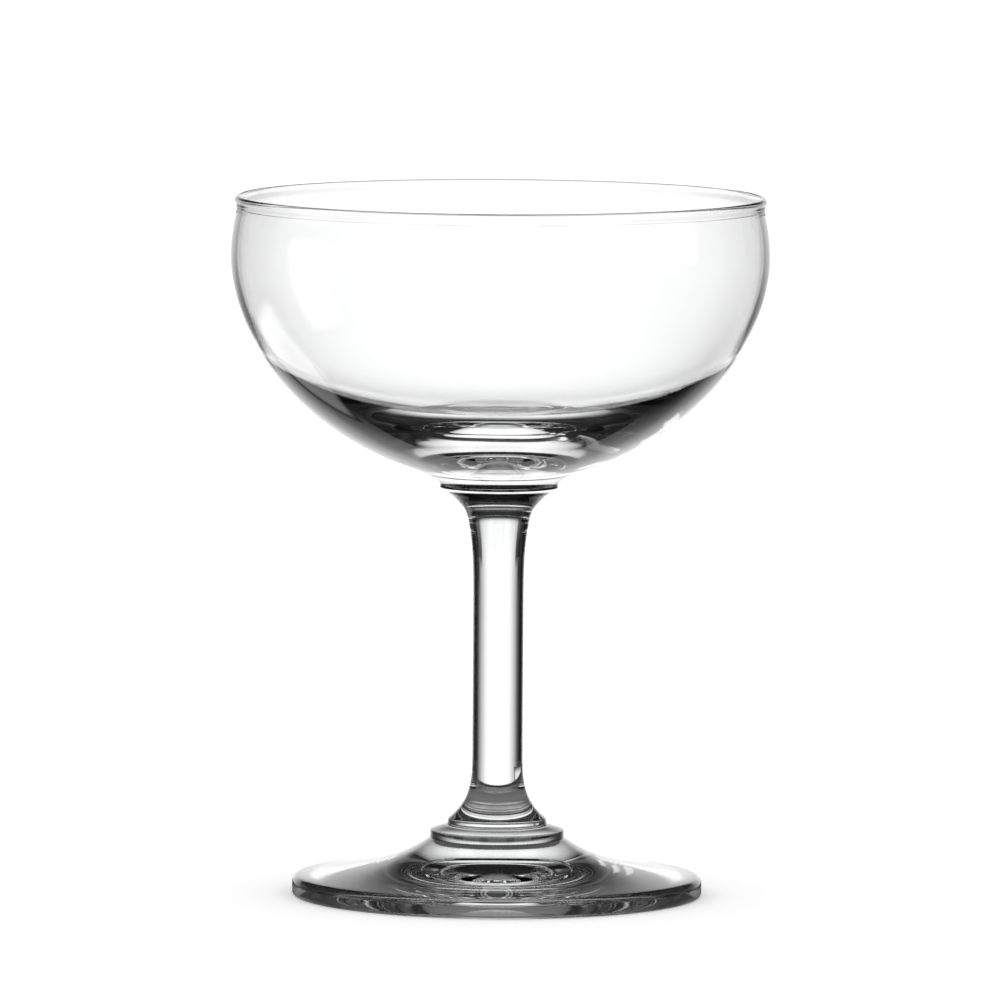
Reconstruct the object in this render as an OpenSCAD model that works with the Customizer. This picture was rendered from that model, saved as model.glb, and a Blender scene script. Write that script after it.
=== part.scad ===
// Coupe glass: a wide, shallow bowl on a drawn stem with a heavy pressed foot.
// Three pieces of clear glass, fused one on top of the other.
// Z is the axis of the glass, the table is at Z = 0, and every size is in millimetres.

/* [Heights] */
// Height of the bowl, from the fused joint with the stem to the top of the rim
bowl_height = 50.2; // [42:0.1:64]
// Length of the stem, from the fused joint with the foot to the bowl
stem_length = 61.8; // [46:0.1:100]
// Height of the fused joint between the foot and the stem
foot_joint_height = 10; // [8.5:0.1:12]

/* [Bowl] */
// Diameter at the widest place of the bowl
bowl_diameter = 94.1; // [86:0.1:104]
// Distance from the rim down to the widest place
widest_below_rim = 10.4; // [7:0.1:16]
// Height above the joint at which the side's curve would close
side_lift = 0.3; // [0:0.1:3]
// Height over which the side would close again above the widest place
side_closing = 44; // [36:0.5:70]
// Squareness of the side's curve, where 2 is an ellipse and less is slimmer
side_power = 1.88; // [1.7:0.01:2.2]
// Wall thickness at the widest place
wall = 1.25; // [0.9:0.05:1.8]
// Thickness of the solid glass floor at the middle of the bowl
floor_thickness = 7.8; // [6:0.1:12]
// Distance below the widest place where the wall starts to thicken into the floor
even_wall_depth = 15; // [6:0.5:20]
// Diameter of the boss that meets the stem
boss_diameter = 20.2; // [18:0.1:24]

/* [Rim] */
// Thickness of the fire-polished rim bead
bead = 1.45; // [1.1:0.05:2]
// Distance that the bead stands out from the wall under it
bead_overhang = 0.2; // [0:0.05:0.5]
// Height of the narrow neck under the bead
neck_height = 1.2; // [0.6:0.1:2.5]

/* [Stem] */
// Diameter of the shank
shank_diameter = 8.84; // [7:0.1:11]
// Diameter of the head that carries the bowl
head_diameter = 20.7; // [18.4:0.1:26]
// Height of the head's crisp upright edge
head_edge = 0.3; // [0.2:0.05:1.5]
// Length of the flare from the shank up to the head
head_flare = 19.8; // [14:0.1:28]
// Diameter of the disc at the base, which sits on the foot
base_diameter = 23.4; // [20:0.1:27]
// Height of the disc's crisp upright edge
base_edge = 1.4; // [0.8:0.05:2.5]
// Rise of the disc's sloping top from its edge to the collar
shelf_rise = 0.9; // [0.4:0.05:1.6]
// Diameter of the collar where the lower flare ends
collar_diameter = 17.2; // [14:0.1:19]
// Height of the collar's upright edge
collar_edge = 1; // [0.4:0.05:1.6]
// Length of the flare from the collar up to the shank
base_flare = 10; // [7:0.1:16]

/* [Foot] */
// Diameter of the foot
foot_diameter = 71.4; // [62:0.1:80]
// Height of the foot's side at the edge
foot_edge = 3.4; // [2.6:0.1:4.2]
// Radius of the edge's upper rounding
upper_round = 1.4; // [0.8:0.1:1.6]
// Radius of the edge's lower rounding
lower_round = 0.6; // [0.3:0.1:0.9]
// Slope of the foot's top at its edge, in degrees
edge_slope = 7; // [4:0.5:10]
// Slope of the foot's top where it meets the stem, in degrees
centre_slope = 37; // [25:1:45]
// Width of the flat ring that stands on the table
ring_width = 2.4; // [2:0.1:5]
// Height of the shallow hollow under the middle of the foot
hollow_height = 1.6; // [0.8:0.1:2.4]

/* [Hidden] */
$fn = 180;

// Number of straight pieces in a long curve and in a small rounding
curve_steps = 36;
round_steps = 10;

glass_tint = [0.86, 0.9, 0.9, 0.35];
stem_tint = [0.84, 0.89, 0.9, 0.4];
foot_tint = [0.82, 0.88, 0.89, 0.4];

bowl_joint_height = foot_joint_height + stem_length;
glass_height = bowl_joint_height + bowl_height;
bowl_radius = bowl_diameter / 2;
boss_radius = boss_diameter / 2;
bead_radius = bead / 2;
widest_height = glass_height - widest_below_rim;
side_depth = bowl_height - widest_below_rim - side_lift;
floor_height = bowl_joint_height + floor_thickness;
step_height = glass_height - bead - neck_height;
shank_radius = shank_diameter / 2;
head_radius = head_diameter / 2;
base_radius = base_diameter / 2;
collar_radius = collar_diameter / 2;
foot_radius = foot_diameter / 2;
ring_radius = foot_radius - lower_round;

// Where the straight handles of the fillet and the flares end, as shares of their spans
fillet_reach_share = 1.57;
fillet_pull_shares = [0.26, 0.8];
floor_pull_shares = [0.5, 0.61];
head_pull_shares = [0.67, 0.87, 0.11];
base_pull_shares = [0.66, 0.16, 0.56];
foot_pull_shares = [0.2, 0.58];
neck_share = 0.55;

// A point on a cubic curve between a and d, drawn towards b and c
function cubic(a, b, c, d, t) =
    pow(1 - t, 3) * a + 3 * pow(1 - t, 2) * t * b + 3 * (1 - t) * t * t * c + pow(t, 3) * d;

// Points along that curve, both ends included
function cubic_points(a, b, c, d) =
    [for (i = [0 : curve_steps]) cubic(a, b, c, d, i / curve_steps)];

// Points on a circular arc, both ends included
function arc_points(centre, radius, from, to) =
    [for (i = [0 : round_steps])
        let (angle = from + (to - from) * i / round_steps)
        centre + radius * [cos(angle), sin(angle)]];

// Radius of a rounded side at a height above or below its widest place
function side_radius(widest, rise, closing, power) =
    widest * pow(1 - pow(abs(rise) / closing, power), 1 / power);

// Drop of a rounded side below its widest place at a radius
function side_drop(widest, radius, depth, power) =
    depth * pow(1 - pow(radius / widest, power), 1 / power);

// Slope of the underside at a radius, as drop for each millimetre outwards
function side_slope(widest, radius, depth, power) =
    depth / widest * pow(radius / widest, power - 1)
        * pow(1 - pow(radius / widest, power), 1 / power - 1);

// Lean of the side at a height below its widest place, as run inwards for each millimetre down
function side_lean(rise) =
    bowl_radius / side_depth * pow(rise / side_depth, side_power - 1)
        * pow(1 - pow(rise / side_depth, side_power), 1 / side_power - 1);

function outside_below(radius) =
    [radius, widest_height - side_drop(bowl_radius, radius, side_depth, side_power)];

function inside_below(rise) =
    [side_radius(bowl_radius, rise, side_depth, side_power) - wall * norm([1, side_lean(rise)]),
        widest_height - rise];

function outside_above(height) =
    [side_radius(bowl_radius, height - widest_height, side_closing, side_power), height];

function inside_above(height) = outside_above(height) - [wall, 0];

// The blown bowl: a rounded side with a thick floor, a bead at the rim and a boss below
module bowl() {
    fillet_radius = boss_radius * fillet_reach_share;
    fillet_top = outside_below(fillet_radius);
    fillet_run = fillet_radius - boss_radius;
    fillet_slope = side_slope(bowl_radius, fillet_radius, side_depth, side_power);
    fillet_rise = fillet_top.y - bowl_joint_height;
    fillet = cubic_points(
        [boss_radius, bowl_joint_height],
        [boss_radius + fillet_run * (1 - fillet_pull_shares.y), bowl_joint_height + fillet_rise / 2],
        fillet_top - fillet_pull_shares.x * fillet_run * [1, fillet_slope],
        fillet_top
    );
    outer_low = [for (i = [1 : curve_steps])
        outside_below(fillet_radius + (bowl_radius - fillet_radius) * sin(90 * i / curve_steps))];
    outer_high = [for (i = [1 : round_steps])
        outside_above(widest_height + (step_height - widest_height) * i / round_steps)];
    step_radius = outer_high[round_steps - 1].x;
    bead_centre = [step_radius + bead_overhang - bead_radius, glass_height - bead_radius];
    neck_radius = bead_centre.x + bead_radius * neck_share;
    neck_angle = -acos(neck_share);
    neck = [
        [neck_radius, step_height + (step_radius - neck_radius)],
        [neck_radius, bead_centre.y + bead_radius * sin(neck_angle)]
    ];
    rim = arc_points(bead_centre, bead_radius, neck_angle, 180);
    inner_high = [for (i = [round_steps : -1 : 0])
        inside_above(widest_height + (step_height - widest_height) * i / round_steps)];
    inner_wall = [for (i = [1 : round_steps]) inside_below(even_wall_depth * i / round_steps)];
    floor_start = inner_wall[round_steps - 1];
    floor_fall = floor_start.y - floor_height;
    inner_floor = cubic_points(
        floor_start,
        floor_start - floor_pull_shares.x * floor_fall * [side_lean(even_wall_depth), 1],
        [floor_pull_shares.y * floor_start.x, floor_height],
        [0, floor_height]
    );
    color(glass_tint)
        rotate_extrude()
            polygon(concat([[0, bowl_joint_height]], fillet, outer_low, outer_high,
                neck, rim, inner_high, inner_wall, inner_floor));
}

// The drawn stem: a slim shank that flares into a head above, and into a collar and a disc below
module stem() {
    head_under = bowl_joint_height - head_edge;
    base_top = foot_joint_height + base_edge;
    collar_bottom = base_top + shelf_rise;
    collar_top = collar_bottom + collar_edge;
    head_run = head_radius - shank_radius;
    collar_run = collar_radius - shank_radius;
    head_curve = cubic_points(
        [shank_radius, head_under - head_flare],
        [shank_radius, head_under - head_flare * (1 - head_pull_shares.x)],
        [shank_radius + head_run * head_pull_shares.z, head_under - head_flare * (1 - head_pull_shares.y)],
        [head_radius, head_under]
    );
    base_curve = cubic_points(
        [collar_radius, collar_top],
        [shank_radius + collar_run * base_pull_shares.z, collar_top + base_flare * base_pull_shares.y],
        [shank_radius, collar_top + base_flare * (1 - base_pull_shares.x)],
        [shank_radius, collar_top + base_flare]
    );
    color(stem_tint)
        rotate_extrude()
            polygon(concat(
                [[0, foot_joint_height], [base_radius, foot_joint_height], [base_radius, base_top]],
                [[collar_radius, collar_bottom]],
                base_curve,
                head_curve,
                [[head_radius, bowl_joint_height], [0, bowl_joint_height]]
            ));
}

// The pressed foot: a sloping top, a rounded edge and a shallow hollow inside a flat ring
module foot() {
    upper_centre = [foot_radius - upper_round, foot_edge - upper_round];
    edge_start = upper_centre + upper_round * [sin(edge_slope), cos(edge_slope)];
    top_run = edge_start.x - base_radius;
    top = cubic_points(
        [base_radius, foot_joint_height],
        [base_radius, foot_joint_height]
            + foot_pull_shares.x * top_run * [1, -tan(centre_slope)],
        edge_start + foot_pull_shares.y * top_run * [-1, tan(edge_slope)],
        edge_start
    );
    upper = arc_points(upper_centre, upper_round, 90 - edge_slope, 0);
    lower = arc_points([ring_radius, lower_round], lower_round, 0, -90);
    hollow_edge = ring_radius - ring_width;
    hollow_radius = (hollow_edge * hollow_edge + hollow_height * hollow_height) / (2 * hollow_height);
    hollow_angle = asin(hollow_edge / hollow_radius);
    hollow = arc_points([0, hollow_height - hollow_radius], hollow_radius, 90 - hollow_angle, 90);
    color(foot_tint)
        rotate_extrude()
            polygon(concat([[0, foot_joint_height]], top, upper, lower, hollow));
}

bowl();
stem();
foot();
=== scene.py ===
# %% [markdown]
# # A coupe glass in three pieces of clear glass
# The object is a saucer-shaped drinking glass: a blown bowl with a thick floor, a drawn stem and a pressed
# foot. The three were fused while hot, so on the real glass the joints are lines where one form meets the
# next. This notebook dresses a measured model of it. The outlines repeat the model's sizes and add what it
# leaves out, such as small roundings, and Blender gives the smooth surface, the glass and the light. Sizes
# are in millimetres and become metres by MM. Every height is above the table, which is at Z = 0.

# %% The measured model
from math import asin, cos, degrees, pi, radians, sin, tan
import bmesh
import bpy
from mathutils import Matrix, Quaternion, Vector


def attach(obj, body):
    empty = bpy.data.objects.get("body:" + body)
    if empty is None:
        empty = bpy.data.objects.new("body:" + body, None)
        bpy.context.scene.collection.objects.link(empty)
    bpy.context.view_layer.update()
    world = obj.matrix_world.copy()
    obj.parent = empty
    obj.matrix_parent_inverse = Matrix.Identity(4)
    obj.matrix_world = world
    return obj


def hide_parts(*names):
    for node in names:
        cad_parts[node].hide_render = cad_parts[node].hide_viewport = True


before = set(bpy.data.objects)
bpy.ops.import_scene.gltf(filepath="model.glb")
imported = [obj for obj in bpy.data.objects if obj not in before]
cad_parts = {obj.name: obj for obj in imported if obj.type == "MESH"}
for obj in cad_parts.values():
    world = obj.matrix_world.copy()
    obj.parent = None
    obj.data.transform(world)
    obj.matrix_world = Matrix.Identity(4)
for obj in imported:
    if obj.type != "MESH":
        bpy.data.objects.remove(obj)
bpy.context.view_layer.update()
MM = 0.001

# %% [markdown]
# ## Seeing the glass as the photographer did
# A picture of a glass is mostly a picture of its curves, so the camera comes first. The ellipses of the rim,
# the stem's base and the foot open a little more the lower they are, and their widths shrink with distance.
# One camera explains all of them: 2.18 m away, 27 cm above the table, with a long lens. Its place was worked
# out from those ellipses. The camera leans by a third of a degree, as the glass does in its picture.

# %% Camera
camera_distance = 2180.0
camera_height = 268.7
aim_height = 69.04
camera_side = 0.165
camera_lean = 0.355
sensor_width = 36
lens_length = 452.84

def place_camera():
    bpy.ops.object.select_all(action="DESELECT")
    spot = (camera_side * MM, -camera_distance * MM, camera_height * MM)
    bpy.ops.object.camera_add(location=spot)
    camera = bpy.context.object
    camera.name = "camera"
    look = Vector((0, camera_distance, aim_height - camera_height))
    camera.rotation_mode = "QUATERNION"
    lean = Quaternion((0, 0, 1), radians(camera_lean))
    camera.rotation_quaternion = look.to_track_quat("-Z", "Y") @ lean
    camera.data.sensor_width = sensor_width
    camera.data.lens = lens_length
    bpy.context.scene.camera = camera
    return camera

camera = place_camera()
print("camera field of view, degrees:", round(degrees(camera.data.angle_x), 3))

# %% [markdown]
# ## Curves for turned shapes
# Every piece is round, so each starts as half an outline: a chain of points from the axis, out round the
# surface and back to the axis. Most of the outline is three kinds of curve, so each gets a small function.
# A cubic curve with two handles draws the flares, an arc draws the roundings, and an oval with a power other
# than two draws the side of the bowl, because blown glass swells into a shape slightly squarer or slimmer
# than an ellipse. A handle's place is a share of the curve's width or height. Only the two at the neck of
# the bowl are lengths.

# %% Curve helpers
curve_steps = 48
round_steps = 12

def cubic_points(a, b, c, d, steps=curve_steps):
    a, b, c, d = (Vector(p) for p in (a, b, c, d))
    shares = [i / steps for i in range(steps + 1)]
    return [
        (1 - t) ** 3 * a + 3 * (1 - t) ** 2 * t * b + 3 * (1 - t) * t * t * c + t ** 3 * d
        for t in shares
    ]

def arc_points(centre, radius, start, stop, steps=round_steps):
    turns = [radians(start + (stop - start) * i / steps) for i in range(steps + 1)]
    return [Vector(centre) + radius * Vector((cos(t), sin(t))) for t in turns]

def oval_radius(widest, rise, closing, power):
    return widest * (1 - (abs(rise) / closing) ** power) ** (1 / power)

def oval_drop(widest, radius, depth, power):
    return depth * max(1 - (radius / widest) ** power, 0) ** (1 / power)

# %% [markdown]
# ## The softness of hot glass
# Glass that has been hot has no sharp corner and no perfectly straight flare. The first helper eases each
# corner of a chain with a small curve that starts and ends a stated distance from the corner. The second
# gives a small outward offset at a height. It runs smoothly through knots, each with a height, an offset and
# a slope, and is nothing beyond the last ones.

# %% Softening helpers
corner_steps = 6
largest_share = 0.45

def part_way(start, goal, distance):
    return start + (goal - start) * min(distance / (goal - start).length, largest_share)

def eased_corners(points, reaches):
    points = [Vector(p) for p in points]
    shares = [i / corner_steps for i in range(corner_steps + 1)]
    eased = [points[0]]
    for before, corner, after, reach in zip(points, points[1:], points[2:], reaches):
        if reach:
            start, stop = part_way(corner, before, reach), part_way(corner, after, reach)
            eased += [(1 - t) ** 2 * start + 2 * (1 - t) * t * corner + t * t * stop for t in shares]
        else:
            eased.append(corner)
    return eased + [points[-1]]

def eased_offset(height, knots):
    for (low, a, slope_a), (high, b, slope_b) in zip(knots, knots[1:]):
        if low <= height <= high:
            t, span = (height - low) / (high - low), high - low
            ends = (2 * t ** 3 - 3 * t ** 2 + 1) * a + (3 * t ** 2 - 2 * t ** 3) * b
            return ends + span * ((t ** 3 - 2 * t ** 2 + t) * slope_a + (t ** 3 - t ** 2) * slope_b)
    return 0.0

# %% [markdown]
# ## Turning an outline into glass
# A turned object could be made with a Screw modifier, or with the Spin tool. Spin is used here, because it
# leaves plain mesh that can be cleaned at once. A circle of vertices is added, its vertices are moved onto
# the outline, and the one edge that would run along the axis is deleted. Spin sweeps what is left through a
# full turn.
# The last copy lies on the first, and each pole is a pile of vertices, so doubles are merged, and the normals
# are recalculated because a swept shell can come out inside out. Light bends by the normals, so there are
# many narrow steps. Points that all but touch would make slivers, so they are dropped from the outline first.

# %% Lathe
turn_steps = 256
least_gap = 0.004
smooth_angle = 32
start_radius = 10
on_axis = 0.000001
merge_distance = 0.001

def spaced(points):
    kept = [points[0]]
    for p in points[1:]:
        if (p - kept[-1]).length > least_gap:
            kept.append(p)
    kept[-1] = points[-1]
    return kept

def turned(name, outline):
    points = [p * MM for p in spaced(outline)]
    bpy.ops.object.select_all(action="DESELECT")
    bpy.ops.mesh.primitive_circle_add(vertices=len(points), radius=start_radius * MM, fill_type="NOTHING")
    piece = bpy.context.object
    piece.name = piece.data.name = name
    for vertex, point in zip(piece.data.vertices, points):
        vertex.co = (point.x, 0, point.y)
    bpy.ops.object.mode_set(mode="EDIT")
    bpy.ops.mesh.select_mode(type="EDGE")
    bpy.ops.mesh.select_all(action="DESELECT")
    chain = bmesh.from_edit_mesh(piece.data)
    for edge in chain.edges:
        if all(abs(v.co.x) < on_axis * MM for v in edge.verts):
            edge.select = True
    bpy.ops.mesh.delete(type="EDGE")
    bpy.ops.mesh.select_all(action="SELECT")
    bpy.ops.mesh.spin(steps=turn_steps, angle=2 * pi, center=(0, 0, 0), axis=(0, 0, 1))
    bpy.ops.mesh.select_all(action="SELECT")
    bpy.ops.mesh.remove_doubles(threshold=merge_distance * MM)
    bpy.ops.mesh.normals_make_consistent(inside=False)
    bpy.ops.object.mode_set(mode="OBJECT")
    bpy.ops.object.shade_smooth_by_angle(angle=radians(smooth_angle))
    measure(piece)
    return piece

def measure(piece):
    solid = bmesh.new()
    solid.from_mesh(piece.data)
    open_edges = sum(not e.is_manifold for e in solid.edges)
    triangles = sum(len(f.verts) - 2 for f in solid.faces)
    volume = solid.calc_volume(signed=True) / MM ** 3
    solid.free()
    print(piece.name, "triangles", triangles, "open edges", open_edges, "volume mm3", round(volume))

# %% [markdown]
# ## The bowl
# Blown into a mould, then cut and fire-polished at the rim. Its side swells to its widest place a centimetre
# under the rim. The wall is little more than a millimetre thick up there. It keeps that thickness, measured
# square to its surface, down to a stated depth, and then runs into a thick floor, which works as a lens: it
# is why the lower bowl looks dark on both sides and bright in the middle.
# A squashed sphere with a Solidify modifier would give an even wall, but neither the lens nor the bead at
# the rim, so the outside and the inside are both drawn.

# %% Sizes of the bowl
glass_height = 122.0
bowl_joint_height = 71.8
bowl_radius = 94.1 / 2
widest_below_rim = 10.4
widest_height = glass_height - widest_below_rim
side_depth, side_closing, side_power = 39.5, 44.0, 1.88
wall = 1.25
even_wall_depth = 15.0
floor_thickness = 7.8
floor_height = bowl_joint_height + floor_thickness
boss_radius = 20.2 / 2

# %% The two sides of the wall
def outside_below(radius):
    return Vector((radius, widest_height - oval_drop(bowl_radius, radius, side_depth, side_power)))

def side_lean(rise):
    share = rise / side_depth
    lean = bowl_radius / side_depth * share ** (side_power - 1)
    return lean * (1 - share ** side_power) ** (1 / side_power - 1)

def inside_below(rise):
    inwards = wall * (1 + side_lean(rise) ** 2) ** 0.5
    radius = oval_radius(bowl_radius, rise, side_depth, side_power) - inwards
    return Vector((radius, widest_height - rise))

def side_above(height, inwards):
    radius = oval_radius(bowl_radius, height - widest_height, side_closing, side_power) - inwards
    return Vector((radius, height))

# %% [markdown]
# The fillet that joins the boss to the side is a cubic curve, and so is the lens-shaped floor inside. At the
# rim the flame draws the glass up into a bead, which leaves a narrow neck under it. The neck is another cubic
# curve, from the wall's own direction to the underside of the bead.

# %% Outline of the bowl
fillet_reach = 1.57
fillet_radius = boss_radius * fillet_reach
boss_handle, fillet_handle = 0.2, 0.26
bead_radius, bead_overhang, neck_height = 1.45 / 2, 0.2, 1.2
step_height = glass_height - 2 * bead_radius - neck_height
bead_start, bead_steps = -12, 24
neck_handle, bead_handle, neck_steps = 0.7, Vector((-0.14, -0.65)), 20
wall_steps = 16
wall_handle, floor_handle = 0.5, 0.61
nudge = 0.01

def boss_fillet():
    top = outside_below(fillet_radius)
    run = fillet_radius - boss_radius
    slope = (outside_below(fillet_radius + nudge).y - top.y) / nudge
    return cubic_points(
        (boss_radius, bowl_joint_height),
        (boss_radius + run * boss_handle, (bowl_joint_height + top.y) / 2),
        top - fillet_handle * run * Vector((1, slope)),
        top,
    )

def lens_floor(start):
    return cubic_points(
        start,
        start - wall_handle * (start.y - floor_height) * Vector((side_lean(even_wall_depth), 1)),
        (floor_handle * start.x, floor_height),
        (0, floor_height),
    )

def bowl_outline():
    shares = [sin(pi / 2 * i / curve_steps) for i in range(curve_steps + 1)]
    outer_low = [outside_below(fillet_radius + (bowl_radius - fillet_radius) * s) for s in shares[1:]]
    rise = step_height - widest_height
    heights = [widest_height + rise * i / round_steps for i in range(round_steps + 1)]
    outer_high = [side_above(h, 0) for h in heights[1:]]
    step = outer_high[-1]
    bead_centre = Vector((step.x + bead_overhang - bead_radius, glass_height - bead_radius))
    bead = arc_points(bead_centre, bead_radius, bead_start, 180, bead_steps)
    upwards = (step - outer_high[-2]).normalized()
    neck = cubic_points(step, step + neck_handle * upwards, bead[0] + bead_handle, bead[0], neck_steps)
    inner_high = [side_above(h, wall) for h in reversed(heights)]
    inner_wall = [inside_below(even_wall_depth * i / wall_steps) for i in range(1, wall_steps + 1)]
    outside = [Vector((0, bowl_joint_height))] + boss_fillet() + outer_low + outer_high
    return outside + neck[1:-1] + bead + inner_high + inner_wall + lens_floor(inner_wall[-1])

bowl = turned("bowl_of_glass", bowl_outline())

# %% [markdown]
# ## The stem
# The stem was drawn from a gather of soft glass. Its shank is slim and straight, and it flares at both ends:
# a wide trumpet under the bowl, which ends in a thin edge, and a steeper one that ends in a collar and stands
# on the foot as a small disc. A cylinder could be given rings and each ring scaled, but a curve with two
# handles has no bumps between its rings, and in glass every bump shows.
# Light follows very small forms in a solid this clear, so some are drawn. The trumpet swells by a quarter of
# a millimetre just under its edge and is slightly slimmer lower down. The corners of the disc and the collar
# are rounded by the flame, their sides lean in towards the top, and the shelf between them is a little full.

# %% Sizes of the stem
foot_joint_height = 10.0
shank_radius = 8.84 / 2
shank_steps = 12
head_radius, head_edge, head_flare = 20.7 / 2, 0.45, 19.8
head_low_handle, head_high_handle = 0.33, (0.11, 0.13)
head_swell = [
    (64.0, 0.0, 0.0),
    (67.0, -0.156, 0.0),
    (69.0, 0.141, 0.11),
    (70.2, 0.25, 0.0),
    (71.0, -0.004, 0.0),
    (71.35, 0.0, 0.0),
]
head_rounding = 0.05
base_radius, base_edge, shelf_rise = 23.4 / 2, 1.4, 0.9
collar_radius, collar_edge, base_flare = 17.2 / 2, 1.0, 10.0
base_low_handle, base_high_handle = (0.56, 0.16), 0.34

# %% Head of the stem
head_under = bowl_joint_height - head_edge

def head_curve():
    run = head_radius - shank_radius
    out, down = head_high_handle
    curve = cubic_points(
        (shank_radius, head_under - head_flare),
        (shank_radius, head_under - head_flare * head_low_handle),
        (shank_radius + run * out, head_under - head_flare * down),
        (head_radius, head_under),
    )
    return [p + Vector((eased_offset(p.y, head_swell), 0)) for p in curve]

def head_top():
    edge_top = (head_radius, bowl_joint_height)
    ledge = (boss_radius, bowl_joint_height)
    return eased_corners([(head_radius, head_under), edge_top, ledge], [head_rounding])[1:]

# %% Base of the stem
base_top = foot_joint_height + base_edge
collar_bottom = base_top + shelf_rise
collar_top = collar_bottom + collar_edge
disc_lean, collar_lean = 0.024, 0.073
shelf_fullness = (0.025, 0.06)
seat_rounding, disc_rounding, shelf_rounding = 0, 0.217, 0.6
collar_foot_rounding, collar_rounding = 0.481, 0.306
flare_points_rounded = 4

def base_curve():
    run = collar_radius - shank_radius
    out, up = base_low_handle
    return cubic_points(
        (collar_radius, collar_top),
        (shank_radius + run * out, collar_top + base_flare * up),
        (shank_radius, collar_top + base_flare * base_high_handle),
        (shank_radius, collar_top + base_flare),
    )

def disc_and_collar(flare_point):
    shelf_radius = (base_radius + collar_radius) / 2 + shelf_fullness[0]
    shelf_height = (base_top + collar_bottom) / 2 + shelf_fullness[1]
    chain = [
        (0, foot_joint_height),
        (base_radius, foot_joint_height),
        (base_radius - disc_lean, base_top),
        (shelf_radius, shelf_height),
        (collar_radius + collar_lean, collar_bottom),
        (collar_radius, collar_top),
        flare_point,
    ]
    roundings = [seat_rounding, disc_rounding, shelf_rounding, collar_foot_rounding, collar_rounding]
    return eased_corners(chain, roundings)

# %% Outline of the stem
def stem_outline():
    head, flare = head_curve(), base_curve()
    low, length = flare[-1].y, head[0].y - flare[-1].y
    shank = [Vector((shank_radius, low + length * i / shank_steps)) for i in range(1, shank_steps)]
    base = disc_and_collar(flare[flare_points_rounded]) + flare[flare_points_rounded + 1:]
    return base + shank + head + head_top() + [Vector((0, bowl_joint_height))]

stem = turned("stem_of_glass", stem_outline())

# %% [markdown]
# ## The foot
# The foot is heavy enough to keep the tall glass upright. Its top slopes down from the stem to a rounded
# edge, and underneath it is slightly hollow, so that it stands on a flat ring and doesn't rock. A flat
# cylinder with bevelled edges would come close, but its top would be straight, and a turned outline also
# gives the slow curve of the top and the dome of the hollow.

# %% Outline of the foot
foot_radius = 71.4 / 2
foot_edge, upper_round, lower_round = 3.4, 1.4, 0.6
edge_slope, centre_slope = 7.0, 37.0
centre_handle, edge_handle = 0.2, 0.58
ring_width, hollow_height, hollow_steps = 2.4, 1.6, 30

def foot_outline():
    upper_centre = Vector((foot_radius - upper_round, foot_edge - upper_round))
    turn = radians(edge_slope)
    edge_start = upper_centre + upper_round * Vector((sin(turn), cos(turn)))
    run = edge_start.x - base_radius
    middle = Vector((base_radius, foot_joint_height))
    top = cubic_points(
        middle,
        middle + centre_handle * run * Vector((1, -tan(radians(centre_slope)))),
        edge_start + edge_handle * run * Vector((-1, tan(turn))),
        edge_start,
    )
    ring_radius = foot_radius - lower_round
    hollow_edge = ring_radius - ring_width
    hollow_radius = (hollow_edge ** 2 + hollow_height ** 2) / (2 * hollow_height)
    hollow_start = 90 - degrees(asin(hollow_edge / hollow_radius))
    upper = arc_points(upper_centre, upper_round, 90 - edge_slope, 0)
    lower = arc_points((ring_radius, lower_round), lower_round, 0, -90)
    hollow = arc_points((0, hollow_height - hollow_radius), hollow_radius, hollow_start, 90, hollow_steps)
    return [Vector((0, foot_joint_height))] + top + upper + lower + hollow

foot = turned("foot_of_glass", foot_outline())

# %% [markdown]
# ## Glass
# Clear glass is nearly all refraction. The Principled shader does it with full transmission and an index of
# 1.5. What makes it look real is that no surface is perfect, and that takes some nodes. They are added and
# linked by a few helpers, which every material here uses.

# %% Node helpers
def add_node(tree, kind, **settings):
    new = tree.nodes.new(kind)
    for key, value in settings.items():
        setattr(new, key, value)
    return new

def set_inputs(node, values):
    for name, value in values.items():
        node.inputs[name].default_value = value

def add_math(tree, operation, first, second=None):
    new = add_node(tree, "ShaderNodeMath", operation=operation)
    for socket, value in zip(new.inputs, (first, second)):
        if isinstance(value, (int, float)):
            socket.default_value = value
        elif value is not None:
            tree.links.new(value, socket)
    return new.outputs[0]

def start_material(name):
    material = bpy.data.materials.new(name)
    material.use_nodes = True
    return material, material.node_tree

def show_only(tree, shader):
    tree.nodes.remove(tree.nodes["Principled BSDF"])
    tree.links.new(shader.outputs[0], tree.nodes["Material Output"].inputs["Surface"])

def start_group(name, inputs, output):
    group = bpy.data.node_groups.new(name, "ShaderNodeTree")
    for label, value in inputs.items():
        socket = group.interface.new_socket(label, in_out="INPUT", socket_type="NodeSocketFloat")
        socket.default_value = value
    group.interface.new_socket(output, in_out="OUTPUT", socket_type="NodeSocketFloat")
    return group, group.nodes.new("NodeGroupInput"), group.nodes.new("NodeGroupOutput")

# %% [markdown]
# ## Waviness and wear
# A blown wall is faintly wavy, a drawn stem has long soft ripples, and the ring under the foot is scuffed
# where it stands. All three pieces share two node groups with their own values. The first is a soft noise
# with one size round the glass and another up and down. The second roughens only what lies within a tenth of
# a millimetre of the table, in patches, so the bowl and the stem stay polished. The waves could be put into
# the mesh, but they are only a fiftieth of a millimetre deep, which a Bump node does better.

# %% Shared surface effects
scuff_start, scuff_full = 0.12, 0.02
scuff_scale = 900

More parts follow.
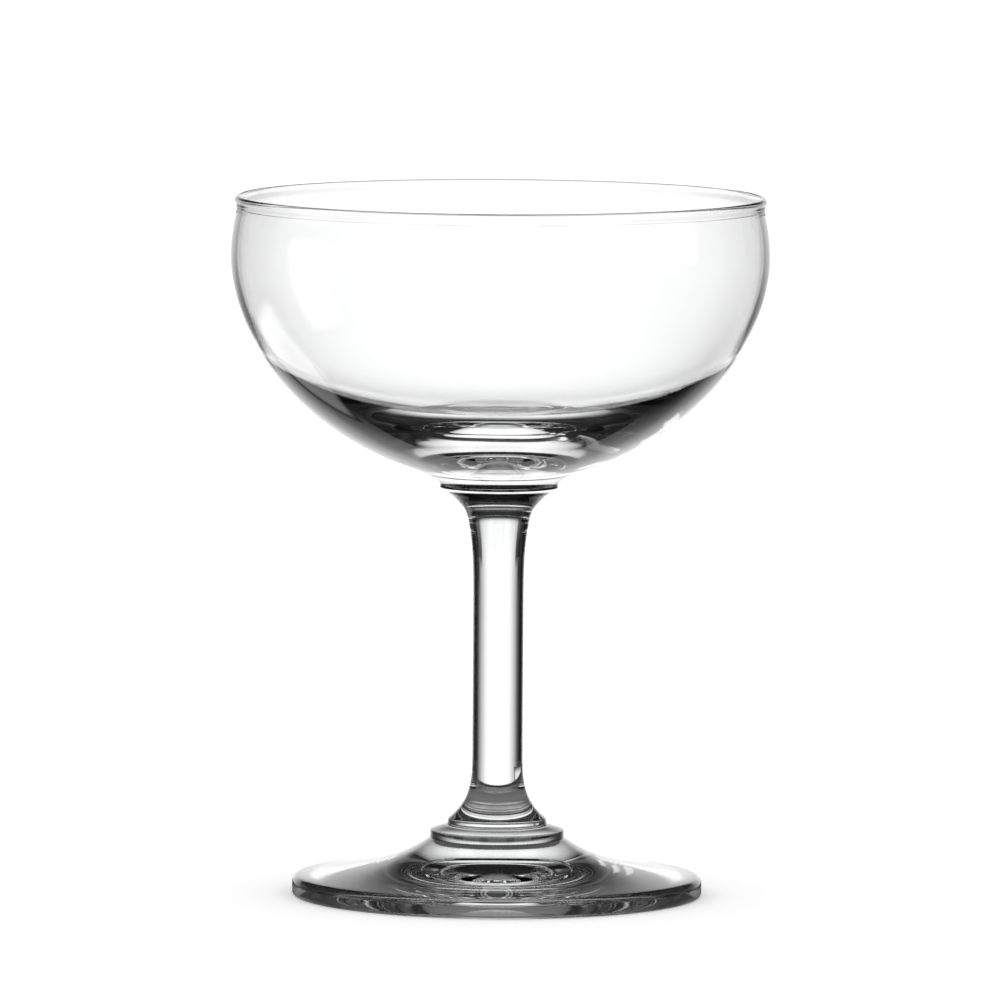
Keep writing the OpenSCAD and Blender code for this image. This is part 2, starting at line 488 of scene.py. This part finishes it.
def make_waviness():
    group, way_in, way_out = start_group("glass_waviness", {"Round size": 60, "Upright size": 30}, "Height")
    place = add_node(group, "ShaderNodeTexCoord")
    sizes = add_node(group, "ShaderNodeCombineXYZ")
    for axis, label in enumerate(("Round size", "Round size", "Upright size")):
        group.links.new(way_in.outputs[label], sizes.inputs[axis])
    spread = add_node(group, "ShaderNodeVectorMath", operation="MULTIPLY")
    group.links.new(place.outputs["Object"], spread.inputs[0])
    group.links.new(sizes.outputs[0], spread.inputs[1])
    noise = add_node(group, "ShaderNodeTexNoise")
    set_inputs(noise, {"Scale": 1.0, "Detail": 1.0, "Roughness": 0.35})
    group.links.new(spread.outputs[0], noise.inputs["Vector"])
    group.links.new(noise.outputs[0], way_out.inputs["Height"])
    return group

def make_wear():
    group, way_in, way_out = start_group("standing_wear", {"Polished": 0.0, "Scuffed": 0.3}, "Roughness")
    place = add_node(group, "ShaderNodeTexCoord")
    split = add_node(group, "ShaderNodeSeparateXYZ")
    group.links.new(place.outputs["Object"], split.inputs[0])
    low = add_node(group, "ShaderNodeMapRange")
    set_inputs(low, {"From Min": scuff_start * MM, "From Max": scuff_full * MM})
    group.links.new(split.outputs["Z"], low.inputs["Value"])
    noise = add_node(group, "ShaderNodeTexNoise")
    set_inputs(noise, {"Scale": scuff_scale})
    group.links.new(place.outputs["Object"], noise.inputs["Vector"])
    patchy = add_math(group, "MULTIPLY", low.outputs[0], noise.outputs[0])
    rough = add_math(group, "MULTIPLY", patchy, way_in.outputs["Scuffed"])
    total = add_math(group, "ADD", rough, way_in.outputs["Polished"])
    group.links.new(total, way_out.inputs["Roughness"])
    return group

waviness = make_waviness()
wear = make_wear()
print("shared effects:", waviness.name, wear.name)

# %% [markdown]
# ## Three kinds of glass
# The three pieces are the same clear glass, but the thin wall of the bowl shows none of its colour, while the
# solid stem and foot look a little grey and green. The shader tints light where it enters and leaves, and
# knows nothing of the way between, so the solid pieces get the darker tint themselves. A Volume Absorption
# node could colour the way between, but it renders more slowly and adds little in pieces this small.

# %% Materials
glass_index = 1.5
wave_depth = 0.02
thin_tint = (0.995, 0.998, 0.997)
solid_tint = (0.865, 0.871, 0.87)

def make_glass(name, tint, round_size, upright_size):
    material, tree = start_material(name)
    shader = tree.nodes["Principled BSDF"]
    set_inputs(shader, {"Base Color": (*tint, 1), "IOR": glass_index})
    set_inputs(shader, {"Transmission Weight": 1.0, "Metallic": 0.0})
    waves = add_node(tree, "ShaderNodeGroup", node_tree=waviness)
    set_inputs(waves, {"Round size": round_size, "Upright size": upright_size})
    bump = add_node(tree, "ShaderNodeBump")
    set_inputs(bump, {"Strength": 1.0, "Distance": wave_depth * MM})
    tree.links.new(waves.outputs["Height"], bump.inputs["Height"])
    tree.links.new(bump.outputs[0], shader.inputs["Normal"])
    scuffs = add_node(tree, "ShaderNodeGroup", node_tree=wear)
    tree.links.new(scuffs.outputs["Roughness"], shader.inputs["Roughness"])
    print(name, "tint", tint)
    return material

blown_glass = make_glass("blown_glass", thin_tint, 90, 45)
drawn_glass = make_glass("drawn_glass", solid_tint, 160, 25)
pressed_glass = make_glass("pressed_glass", solid_tint, 60, 60)

# %% [markdown]
# ## Fused joints
# Where two pieces meet the glass is one solid, so light crosses the joint without bending. The faces that
# touch get a material that is fully see-through, and only the narrow ledge where the head is wider than the
# boss stays glass. The faces could be deleted instead, but then every piece would be an open shell.

# %% Dressing the pieces
touching = 0.0001

def make_joint():
    material, tree = start_material("fused_joint")
    show_only(tree, add_node(tree, "ShaderNodeBsdfTransparent"))
    return material

fused = make_joint()

def is_joint(corners, height, radius):
    level = all(abs(c.z - height * MM) < touching * MM for c in corners)
    return level and all(c.xy.length < (radius + touching) * MM for c in corners)

def dress(piece, material, joints):
    piece.data.materials.clear()
    piece.data.materials.append(material)
    piece.data.materials.append(fused)
    count = 0
    for face in piece.data.polygons:
        corners = [piece.data.vertices[i].co for i in face.vertices]
        if any(is_joint(corners, height, radius) for height, radius in joints):
            face.material_index = 1
            count += 1
    print(piece.name, "faces fused to a neighbour:", count)

dress(bowl, blown_glass, [(bowl_joint_height, boss_radius)])
dress(stem, drawn_glass, [(bowl_joint_height, boss_radius), (foot_joint_height, base_radius)])
dress(foot, pressed_glass, [(foot_joint_height, base_radius)])

pieces = [(bowl, "bowl", "bowl_glass"), (stem, "stem", "stem_glass"), (foot, "foot", "foot_glass")]
for piece, node, slot in pieces:
    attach(piece, "root")
    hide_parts(node)

# %% [markdown]
# ## The table
# The glass stands on a plain white table. The camera sees the table and its soft shadow. The light that the
# glass itself bends comes from the sheets that are made further on, so the table is left out of what shows
# through the glass and what is mirrored in it. Stronger light would make the table whiter, but the glass
# too. So a little glow for the camera alone takes the table to pure white away from the foot.

# %% Floor
floor_size = 16000
floor_drop = 0.02
floor_lift = 0.14
white = (1, 1, 1, 1)

def make_floor():
    bpy.ops.object.select_all(action="DESELECT")
    bpy.ops.mesh.primitive_plane_add(size=floor_size * MM, location=(0, 0, -floor_drop * MM))
    floor = bpy.context.object
    floor.name = "floor"
    material, tree = start_material("white_table")
    shader = tree.nodes["Principled BSDF"]
    set_inputs(shader, {"Base Color": white, "Emission Color": white})
    set_inputs(shader, {"Roughness": 1.0, "Specular IOR Level": 0.0})
    seen = add_node(tree, "ShaderNodeLightPath")
    lift = add_math(tree, "MULTIPLY", seen.outputs["Is Camera Ray"], floor_lift)
    tree.links.new(lift, shader.inputs["Emission Strength"])
    floor.data.materials.append(material)
    floor.visible_transmission = False
    floor.visible_glossy = False
    print("table, mm across:", floor_size)

make_floor()

# %% [markdown]
# ## Patterns of light
# Clear glass is lit through what stands behind it, and a glass draws every shade of that in its curves. So
# each sheet of light here has a pattern: two ramps multiplied, one for each way across the sheet. A ramp is a
# list of places and levels, with the places in millimetres from the axis of the glass or above the table.
# The sheet is as large as its ramps are long. An area lamp could stand there instead, but it has one level
# all over, and its edges would show as hard lines in the glass.

# %% Pattern helpers
def add_ramp(tree, value, stops):
    new = add_node(tree, "ShaderNodeValToRGB")
    ramp = new.color_ramp
    ramp.interpolation = "LINEAR"
    while len(ramp.elements) < len(stops):
        ramp.elements.new(1.0)
    for element, (place, grey) in zip(ramp.elements, stops):
        element.position = place
        element.color = (grey, grey, grey, 1)
    tree.links.new(value, new.inputs[0])
    return new.outputs[0]

def add_pattern(tree, value, stops):
    low, high = stops[0][0], stops[-1][0]
    share = add_math(tree, "DIVIDE", add_math(tree, "SUBTRACT", value, low * MM), (high - low) * MM)
    return add_ramp(tree, share, [((place - low) / (high - low), level) for place, level in stops])

def add_two_patterns(tree, across, along, along_axis, bearing=0):
    place = add_node(tree, "ShaderNodeTexCoord")
    aligned = add_node(tree, "ShaderNodeVectorRotate", rotation_type="Z_AXIS")
    set_inputs(aligned, {"Angle": radians(bearing)})
    tree.links.new(place.outputs["Object"], aligned.inputs["Vector"])
    split = add_node(tree, "ShaderNodeSeparateXYZ")
    tree.links.new(aligned.outputs[0], split.inputs[0])
    sideways = add_math(tree, "ABSOLUTE", split.outputs["X"])
    level_across = add_pattern(tree, sideways, across)
    level_along = add_pattern(tree, split.outputs[along_axis], along)
    return add_math(tree, "MULTIPLY", level_across, level_along)

def make_light(name, across, along, along_axis, bearing=0):
    material, tree = start_material(name)
    light = add_node(tree, "ShaderNodeEmission")
    glow = add_two_patterns(tree, across, along, along_axis, bearing)
    tree.links.new(glow, light.inputs["Strength"])
    show_only(tree, light)
    return material

# %% [markdown]
# ## Hanging a sheet
# A sheet is a plane that is scaled, turned and moved. An upright one is turned by a quarter and can be swung
# round the glass by a bearing, where 0 is straight behind it. The sheets are seen only by light that has met
# the glass: the camera, the table and the shadows don't know them.

# %% Sheet helpers
upright_turn, flat_turn = 90, 0
panel_distance = 800

def middle_and_length(stops):
    low, high = stops[0][0], stops[-1][0]
    return (low + high) / 2, high - low

def make_sheet(name, width, depth, place, turn, material, bearing=0):
    spot = Matrix.Rotation(radians(-bearing), 3, "Z") @ Vector(place) * MM
    bpy.ops.object.select_all(action="DESELECT")
    bpy.ops.mesh.primitive_plane_add(size=1, location=spot, rotation=(radians(turn), 0, radians(-bearing)))
    sheet = bpy.context.object
    sheet.name = name
    sheet.scale = (width * MM, depth * MM, 1)
    bpy.ops.object.transform_apply(location=True, rotation=True, scale=True)
    sheet.data.materials.append(material)
    sheet.visible_camera = sheet.visible_diffuse = sheet.visible_shadow = False
    print(name, "centre, mm:", [round(n / MM) for n in spot])

def make_panel(name, across, upright, bearing=0):
    middle, height = middle_and_length(upright)
    width = 2 * across[-1][0]
    light = make_light(name + "_light", across, upright, "Z", bearing)
    make_sheet(name, width, height, (0, panel_distance, middle), upright_turn, light, bearing)

# %% [markdown]
# ## Light behind the glass
# This is a bright-field studio: a broad white panel far behind the glass fills its middle with light, and
# fades to black at both sides and above. The curves bend that darkness into their edges, and so it draws
# them. How fast the panel fades can be read off the shank, because a round rod of glass works as a lens that
# squeezes the whole studio into its own width. The panel goes on below the table, where light bent downwards
# looks for it.

# %% The panel
panel_across = [
    (0, 1.0), (90, 1.0), (120, 1.08), (180, 1.08), (214, 0.985), (260, 0.93),
    (291, 0.89), (323, 0.85), (356, 0.75), (425, 0.58), (462, 0.48), (500, 0.365),
    (540, 0.27), (581, 0.187), (625, 0.12), (671, 0.076), (800, 0.03), (950, 0.01),
]
panel_upright = [
    (-1700, 0.6), (-816, 0.6), (-530, 0.75), (-400, 1.1), (-244, 1.22), (-81, 1.2),
    (60, 1.19), (130, 1.17), (172, 1.08), (201, 0.98), (235, 0.8), (260, 0.55),
    (289, 0.36), (320, 0.2), (360, 0.04), (433, 0.0),
]
make_panel("panel", panel_across, panel_upright)

# %% [markdown]
# ## Light from the table
# Light that leaves through the foot meets the table close by. It is dim in the foot's own shade and a little
# brighter in front, where the room's light reaches it. The sheet that stands for this glow lies a tenth of a
# millimetre below the table. It is kept small, so that it doesn't hide the panels from light that leaves the
# glass downwards.

# %% The table's glow
table_across = [(0, 1.2), (30, 1.1), (45, 1.0), (90, 0.9), (130, 0.64), (160, 0.45)]
table_away = [
    (-130, 0.36), (-100, 0.39), (-60, 0.36), (-40, 0.3), (-20, 0.25),
    (0, 0.13), (12, 0.17), (20, 0.1), (28, 0.03), (50, 0.04),
]
table_glow_drop = 0.1

def make_table_glow():
    middle, length = middle_and_length(table_away)
    light = make_light("table_light", table_across, table_away, "Y")
    width = 2 * table_across[-1][0]
    make_sheet("table_glow", width, length, (0, middle, -table_glow_drop), flat_turn, light)

make_table_glow()

# %% [markdown]
# ## Gauze beside the bowl
# The wall of the bowl is so thin that its edge would all but vanish against the panel. Photographers stand
# dark strips at both sides of a glass, so that a thin line of shade runs down its outline. Black card makes
# the line too hard here, so these strips are gauze, which only dims what is behind it. They hang some way
# behind the glass and fade out at their sides and below, and the tall ones let more light through towards
# their tops.

# %% Gauze strips
gauze_distance = 150
gauze_high_across = [(74, 0.0), (82, 1.0), (124, 1.0), (136, 0.0)]
gauze_high_upright = [(46, 0.0), (54, 0.84), (60, 0.84), (70, 0.82), (80, 0.74), (100, 0.55), (128, 0.45)]
gauze_low_across = [(100, 0.0), (112, 1.0), (126, 1.0), (140, 0.0)]
gauze_low_upright = [(34, 0.0), (46, 0.8), (54, 0.0)]

def make_gauze(name, across, upright):
    material, tree = start_material(name)
    weave = add_node(tree, "ShaderNodeBsdfTransparent")
    held_back = add_two_patterns(tree, across, upright, "Z")
    tree.links.new(add_math(tree, "SUBTRACT", 1.0, held_back), weave.inputs["Color"])
    show_only(tree, weave)
    return material

def hang_gauze(name, side, across, upright, gauze):
    out, width = middle_and_length(across)
    middle, height = middle_and_length(upright)
    make_sheet(name, width, height, (side * out, gauze_distance, middle), upright_turn, gauze)

gauze_high = make_gauze("gauze_high", gauze_high_across, gauze_high_upright)
gauze_low = make_gauze("gauze_low", gauze_low_across, gauze_low_upright)
for side, label in ((-1, "left"), (1, "right")):
    hang_gauze("gauze_low_" + label, side, gauze_low_across, gauze_low_upright, gauze_low)
    hang_gauze("gauze_high_" + label, side, gauze_high_across, gauze_high_upright, gauze_high)

# %% [markdown]
# ## Light for the other sides
# A person who walks round the glass should see it lit from more places than one, so smaller panels stand
# about it. Each one lies where light bent towards the first camera hardly ever comes from. Three are on that
# camera's own side, one is low down behind the glass at the left, and one is at the left.
# There is none at the right, because there it would lighten the lower outline of the bowl. So the bowl looks
# nearly black from the left and the front left, and a picture from there needs a panel of its own.

# %% The smaller panels
window_fade = 60

def make_window(name, bearing, half_width, bottom, top, level):
    across = [(0, level), (half_width - window_fade, level), (half_width, 0.0)]
    upright = [(bottom, 0.0), (bottom + window_fade, 1.0), (top - window_fade, 1.0), (top, 0.0)]
    make_panel(name, across, upright, bearing)

make_window("window_back", 180, 260, -420, 250, 1.1)
make_window("window_back_left", -135, 250, -420, 230, 1.1)
make_window("window_back_right", 135, 250, -420, 230, 1.1)
make_window("window_low_left", -45, 210, -640, -110, 1.0)
make_window("window_left", -90, 170, -420, 240, 0.9)

# %% [markdown]
# ## The room
# The room is white where the camera looks straight at it, and gives the table its plain, even light. Light
# that has been through the glass or has glanced off it finds the room dark instead, as beyond the edges of a
# studio's panels. A ray crosses many surfaces in a solid glass, so it is allowed many bounces.

# %% World
room_light = 0.012
most_bounces = 24

def make_world():
    world = bpy.data.worlds.new("room")
    bpy.context.scene.world = world
    world.use_nodes = True
    tree = world.node_tree
    background = tree.nodes["Background"]
    set_inputs(background, {"Color": white})
    seen = add_node(tree, "ShaderNodeLightPath")
    met = add_math(tree, "MAXIMUM", seen.outputs["Is Transmission Ray"], seen.outputs["Is Glossy Ray"])
    level = add_math(tree, "SUBTRACT", 1.0, add_math(tree, "MULTIPLY", met, 1 - room_light))
    tree.links.new(level, background.inputs["Strength"])
    print("room light on the glass, of 1:", room_light)

make_world()
scene = bpy.context.scene
scene.view_settings.view_transform = "Standard"
scene.cycles.max_bounces = most_bounces
scene.cycles.transmission_bounces = most_bounces
scene.cycles.glossy_bounces = 12
scene.cycles.transparent_max_bounces = 16
